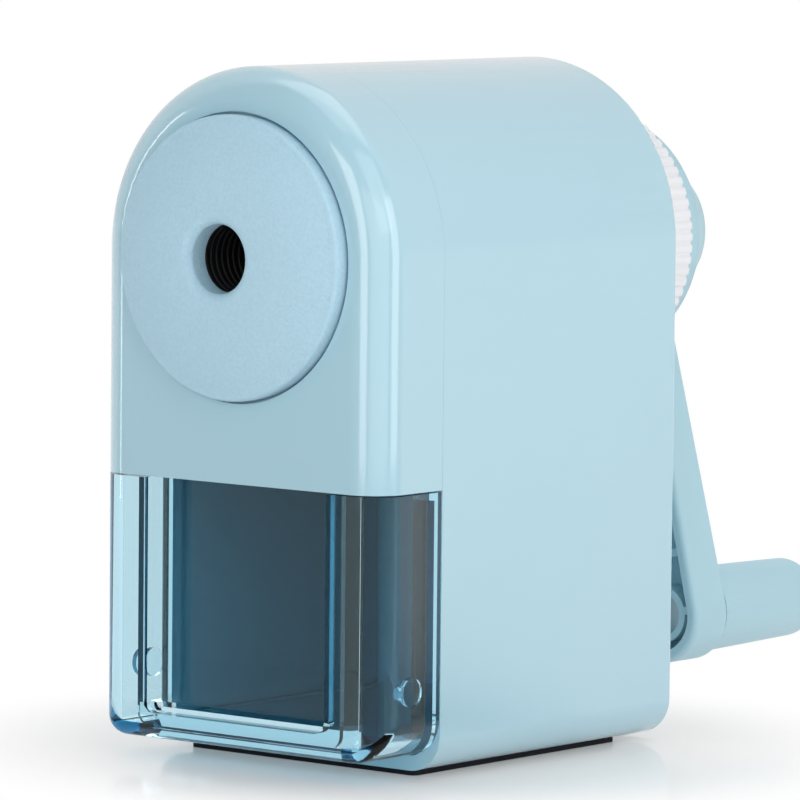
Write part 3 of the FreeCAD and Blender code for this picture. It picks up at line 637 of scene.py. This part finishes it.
@dataclass
class ShavingsDrawer(SubAssembly):
    """Clear drawer with its recessed window.

    Attributes:
        front_to_room: from the drawer's front to the window's back face.
        floor_height: top of the drawer's floor.
        scoop_floor: top of the floor where it is scooped.
        scoop_length: length of the scoop behind the window.
        scoop_run: run of the scoop's far ramp over its rise.
        slope_rise: rise of the sloped face behind the window.
        half_width: half the width of the room behind the window.
        bite: how far the sloped wedge reaches into window and floor.
    """

    finishes: dict[str, Finish] = field(default_factory=dict)
    front_to_room: float = 5.5 * MM
    floor_height: float = 4.8 * MM
    scoop_floor: float = 3.8 * MM
    scoop_length: float = 10.0 * MM
    scoop_run: float = 3.0
    slope_rise: float = 2.7 * MM
    half_width: float = 17.25 * MM
    bite: float = 0.25 * MM

    def add_details(self) -> list[str]:
        """Model the clear drawer with the scooped foot of its window.

        Returns:
            Name of the new piece.
        """
        drawer = Workbench.clean_copy("drawer", EdgeBreak.NONE)
        room_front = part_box("drawer")[0][1] + self.front_to_room
        Workbench.combine(drawer, self.hollow(room_front), "DIFFERENCE")
        Workbench.combine(drawer, self.slope(room_front), "UNION")
        Workbench.break_edges(drawer, EdgeBreak.SOFT.value)
        Workbench.smooth(drawer)
        self.stand_for(drawer, "drawer", CLEAR_TEAL)
        return [drawer.name]

    def hollow(self, room_front: float) -> bpy.types.Object:
        """Ramped block that takes the floor down behind the window.

        Args:
            room_front: depth of the window's back face.

        Returns:
            The block to cut away.
        """
        top = self.floor_height + self.slope_rise
        far = room_front + self.scoop_length
        block = Workbench.block("scoop_room", (-self.half_width, room_front, self.scoop_floor),
                                (self.half_width, far, top))
        ramp = self.scoop_run * (self.floor_height - self.scoop_floor)
        for corner in block.data.vertices:
            corner.select = corner.co.y > far - MM and corner.co.z < self.scoop_floor + MM
        Workbench.start(block)
        bpy.ops.object.mode_set(mode="EDIT")
        bpy.ops.transform.translate(value=(0.0, -ramp, 0.0))
        bpy.ops.object.mode_set(mode="OBJECT")
        return block

    def slope(self, room_front: float) -> bpy.types.Object:
        """Wedge that leads from the window's back down to the scoop's floor.

        Args:
            room_front: depth of the window's back face.

        Returns:
            The wedge, which bites into the window and the floor.
        """
        low = (-self.half_width, room_front - self.bite, self.scoop_floor - self.bite)
        high = (self.half_width, room_front + self.slope_rise, self.scoop_floor + self.slope_rise)
        wedge = Workbench.block("window_slope", low, high)
        Workbench.start(wedge)
        bpy.ops.object.mode_set(mode="EDIT")
        bpy.ops.mesh.select_all(action="SELECT")
        bpy.ops.mesh.bisect(plane_co=(0.0, room_front, high[2]), plane_no=(0.0, 1.0, 1.0),
                            use_fill=True, clear_outer=True)
        bpy.ops.object.mode_set(mode="OBJECT")
        return wedge


@dataclass
class CutterHead(SubAssembly):
    """Carrier, cutter, pinion, axle, and the stop with its spring."""

    finishes: dict[str, Finish] = field(default_factory=lambda: {
        "cutter_carrier": DARK_GREY, "cutter_roller": STEEL, "cutter_pinion": STEEL, "cutter_axle": STEEL,
        "point_stop": WHITE_SATIN, "stop_spring": STEEL})


@dataclass
class PointDial(SubAssembly):
    """White ribbed dial and the collar that it pushes."""

    finishes: dict[str, Finish] = field(default_factory=lambda: {
        "adjuster_dial": WHITE_SATIN, "adjuster_collar": WHITE_SATIN})
    skins: dict[str, EdgeBreak] = field(default_factory=lambda: {"adjuster_dial": EdgeBreak.NONE})


@dataclass
class Crank(SubAssembly):
    """Hub with its arm, screw and cap, and the knob on its pin."""

    finishes: dict[str, Finish] = field(default_factory=lambda: {
        "crank_arm": BLUE_SATIN, "hub_cap": BLUE_SATIN, "handle_knob": BLUE_SATIN,
        "crank_screw": STEEL, "handle_pin": STEEL})
    skins: dict[str, EdgeBreak] = field(default_factory=lambda: {
        "crank_arm": EdgeBreak.FINE, "hub_cap": EdgeBreak.NONE, "handle_knob": EdgeBreak.FINE})


@dataclass(frozen=True)
class SoftBox:
    """An oblong studio lamp that stands round the object and faces it.

    Attributes:
        name: lamp's name.
        turn: its bearing from the front towards the crank's side, degrees.
        away: its distance over the floor, metres.
        height: its middle's height, metres.
        size: its width and height, metres.
        power: its power, watts.
        in_gloss: whether gloss shows it.
    """

    name: str
    turn: float
    away: float
    height: float
    size: tuple[float, float]
    power: float
    in_gloss: bool = True

    def place(self, aim: Vector) -> bpy.types.Object:
        """Add the lamp, facing the aim point.

        Args:
            aim: point that it faces.

        Returns:
            The lamp's object.
        """
        data = bpy.data.lights.new(self.name + "_lamp", "AREA")
        data.shape = "RECTANGLE"
        data.size, data.size_y = self.size
        data.energy = self.power
        lamp = bpy.data.objects.new(self.name + "_lamp", data)
        bpy.context.scene.collection.objects.link(lamp)
        bearing = math.radians(self.turn)
        lamp.location = (self.away * math.sin(bearing), -self.away * math.cos(bearing), self.height)
        lamp.rotation_euler = (aim - lamp.location).to_track_quat("-Z", "Y").to_euler()
        lamp.visible_camera = False
        lamp.visible_glossy = self.in_gloss
        return lamp


SOFT_BOXES = (
    SoftBox("key", 75.0, 0.75, 0.55, (0.7, 0.7), 1.35),
    SoftBox("top", 155.0, 0.11, 0.95, (0.8, 0.8), 1.8),
    SoftBox("round_fill", 52.0, 0.36, 0.12, (0.36, 0.24), 0.24),
    SoftBox("side_strip", 98.0, 0.36, 0.13, (0.15, 0.26), 0.265),
    SoftBox("front_strip", 8.0, 0.36, 0.13, (0.13, 0.26), 0.26),
    SoftBox("left_strip", -48.0, 0.36, 0.06, (0.02, 0.16), 0.06),
    SoftBox("back_fill", 230.0, 0.9, 0.55, (0.8, 0.8), 3.6, in_gloss=False),
)


@dataclass
class Studio:
    """Floor, lamps, world and camera.

    Attributes:
        azimuth: camera's turn round the object, degrees.
        elevation: camera's height angle, degrees.
        roll: camera's roll, degrees.
        reach: distance from the aim point, metres.
        aim: point that the camera is measured from.
        lens: focal length for that sensor, millimetres.
        sensor: sensor's width, millimetres.
        far_clip: end of the camera's view, metres.
        shift: frame shift in widths.
        ambient: world's strength on the object.
        dim_side: direction of the studio's unlit side.
        dim_level: how bright that side is in gloss.
        dim_range: cosines to that side between which the studio dims.
        floor_size: floor's side, metres.
        floor_colour: floor's paint.
        floor_roughness: roughness of that paint.
        floor_specular: specular level of that paint.
        shadow_lift: white that the floor keeps in the object's shadow.
        clear_lift: white of the same floor as it shows through the clear drawer.
        clear_near: floor radius inside which shadows show, metres.
        clear_far: floor radius beyond which the floor is plain white.
    """

    azimuth: float = 39.447
    elevation: float = 5.234
    roll: float = 0.548
    reach: float = 0.8328
    aim: tuple[float, float, float] = (0.0, -0.00525, 0.045)
    lens: float = 282.31
    sensor: float = 36.0
    far_clip: float = 50.0
    shift: tuple[float, float] = (0.02216, 0.01531)
    ambient: float = 0.42
    dim_side: tuple[float, float, float] = (0.5, -0.866, 0.0)
    dim_level: float = 0.14
    dim_range: tuple[float, float] = (-0.25, 0.2)
    floor_size: float = 30.0
    floor_colour: Colour = (0.97, 0.935, 0.915)
    floor_roughness: float = 0.14
    floor_specular: float = 0.3
    shadow_lift: float = 0.17
    clear_lift: float = 0.8
    clear_near: float = 0.034
    clear_far: float = 0.070

    def build(self) -> None:
        """Set up the whole studio."""
        self.world()
        self.floor()
        for box in SOFT_BOXES:
            box.place(Vector(self.aim))
        self.camera()
        bpy.context.scene.view_settings.view_transform = "Standard"

    def world(self) -> None:
        """White to the eye and through the clear drawer, with an unlit side in gloss; softer as light."""
        world = bpy.data.worlds.new("studio_sky")
        bpy.context.scene.world = world
        world.use_nodes = True
        tree = world.node_tree
        base = tree.nodes["Background"]
        base.inputs["Color"].default_value = (1, 1, 1, 1)
        base.inputs["Strength"].default_value = self.ambient
        seen = node_of(tree, "ShaderNodeBackground")
        place = node_of(tree, "ShaderNodeTexCoord")
        mix = node_of(tree, "ShaderNodeMixShader")
        mask, level = self.seen_level(tree, place.outputs["Generated"])
        tree.links.new(level, seen.inputs["Strength"])
        tree.links.new(mask, mix.inputs["Fac"])
        tree.links.new(base.outputs[0], mix.inputs[1])
        tree.links.new(seen.outputs[0], mix.inputs[2])
        tree.links.new(mix.outputs[0], tree.nodes["World Output"].inputs["Surface"])

    def seen_level(self, tree: bpy.types.NodeTree, place: bpy.types.NodeSocket
                   ) -> tuple[bpy.types.NodeSocket, bpy.types.NodeSocket]:
        """Light Path nodes for what camera, glossy and transmission rays see of the studio.

        Args:
            tree: node tree that gets the nodes.
            place: direction or floor position that tells the unlit side.

        Returns:
            Mask of the rays that see the studio, and how bright it is to them.
        """
        path = node_of(tree, "ShaderNodeLightPath")
        through = node_of(tree, "ShaderNodeMath", operation="MAXIMUM")
        mask = node_of(tree, "ShaderNodeMath", operation="MAXIMUM")
        flat = node_of(tree, "ShaderNodeVectorMath", operation="MULTIPLY")
        flat.inputs[1].default_value = (1.0, 1.0, 0.0)
        unit = node_of(tree, "ShaderNodeVectorMath", operation="NORMALIZE")
        facing = node_of(tree, "ShaderNodeVectorMath", operation="DOT_PRODUCT")
        facing.inputs[1].default_value = self.dim_side
        dim = node_of(tree, "ShaderNodeMapRange", interpolation_type="SMOOTHSTEP")
        dim.inputs["From Min"].default_value, dim.inputs["From Max"].default_value = self.dim_range
        dim.inputs["To Min"].default_value = 1.0
        dim.inputs["To Max"].default_value = self.dim_level
        level = node_of(tree, "ShaderNodeMath", operation="MAXIMUM")
        links = tree.links
        links.new(path.outputs["Is Camera Ray"], through.inputs[0])
        links.new(path.outputs["Is Transmission Ray"], through.inputs[1])
        links.new(through.outputs[0], mask.inputs[0])
        links.new(path.outputs["Is Glossy Ray"], mask.inputs[1])
        links.new(place, flat.inputs[0])
        links.new(flat.outputs["Vector"], unit.inputs[0])
        links.new(unit.outputs["Vector"], facing.inputs[0])
        links.new(facing.outputs["Value"], dim.inputs["Value"])
        links.new(through.outputs[0], level.inputs[0])
        links.new(dim.outputs["Result"], level.inputs[1])
        return mask.outputs[0], level.outputs[0]

    def floor(self) -> None:
        """Pale floor that keeps the shadow near the object and is white further off."""
        bpy.ops.object.select_all(action="DESELECT")
        bpy.ops.mesh.primitive_plane_add(size=self.floor_size, location=(0, 0, 0))
        floor = bpy.context.active_object
        floor.name = "studio_floor"
        mat = bpy.data.materials.new("studio_floor_paint")
        mat.use_nodes = True
        tree = mat.node_tree
        shader = tree.nodes["Principled BSDF"]
        shader.inputs["Base Color"].default_value = (*self.floor_colour, 1.0)
        shader.inputs["Roughness"].default_value = self.floor_roughness
        shader.inputs["Specular IOR Level"].default_value = self.floor_specular
        white = node_of(tree, "ShaderNodeEmission")
        place = node_of(tree, "ShaderNodeTexCoord")
        away = node_of(tree, "ShaderNodeVectorMath", operation="LENGTH")
        ramp = node_of(tree, "ShaderNodeMapRange", interpolation_type="SMOOTHSTEP")
        ramp.inputs["From Min"].default_value = self.clear_near
        ramp.inputs["From Max"].default_value = self.clear_far
        ramp.inputs["To Min"].default_value = self.shadow_lift
        both = node_of(tree, "ShaderNodeMath", operation="MULTIPLY")
        mix = node_of(tree, "ShaderNodeMixShader")
        links = tree.links
        links.new(place.outputs["Object"], away.inputs[0])
        links.new(away.outputs["Value"], ramp.inputs["Value"])
        links.new(ramp.outputs["Result"], both.inputs[0])
        mask, level = self.seen_level(tree, place.outputs["Object"])
        links.new(level, white.inputs["Strength"])
        links.new(mask, both.inputs[1])
        path = node_of(tree, "ShaderNodeLightPath")
        glass = node_of(tree, "ShaderNodeMath", operation="MULTIPLY")
        glass.inputs[1].default_value = self.clear_lift
        most = node_of(tree, "ShaderNodeMath", operation="MAXIMUM")
        links.new(path.outputs["Is Transmission Ray"], glass.inputs[0])
        links.new(glass.outputs[0], most.inputs[0])
        links.new(both.outputs[0], most.inputs[1])
        links.new(most.outputs[0], mix.inputs["Fac"])
        links.new(shader.outputs[0], mix.inputs[1])
        links.new(white.outputs[0], mix.inputs[2])
        links.new(mix.outputs[0], tree.nodes["Material Output"].inputs["Surface"])
        floor.data.materials.append(mat)

    def camera(self) -> None:
        """Put the camera at the photograph's viewing angle."""
        turn, lift, roll = (math.radians(v) for v in (self.azimuth, self.elevation, self.roll))
        ahead = Vector((-math.sin(turn) * math.cos(lift), math.cos(turn) * math.cos(lift), -math.sin(lift)))
        right = Vector((math.cos(turn), math.sin(turn), 0.0))
        up = right.cross(ahead)
        right, up = (math.cos(roll) * right + math.sin(roll) * up,
                     math.cos(roll) * up - math.sin(roll) * right)
        data = bpy.data.cameras.new("studio_camera")
        data.lens = self.lens
        data.sensor_width = self.sensor
        data.shift_x, data.shift_y = self.shift
        data.clip_end = self.far_clip
        camera = bpy.data.objects.new("studio_camera", data)
        bpy.context.scene.collection.objects.link(camera)
        basis = Matrix((right, up, -ahead)).transposed().to_4x4()
        camera.matrix_world = Matrix.Translation(Vector(self.aim) - ahead * self.reach) @ basis
        bpy.context.scene.camera = camera


def main() -> None:
    """Build every sub-assembly in order, then the studio."""
    logging.basicConfig(level=logging.INFO, format="%(name)s: %(message)s")
    for group in (BodyShell(), PencilPort(), ShavingsDrawer(), CutterHead(), PointDial(), Crank()):
        for name in group.build():
            LOG.info("finished %s", name)
    Studio().build()


if __name__ == "__main__":
    main()
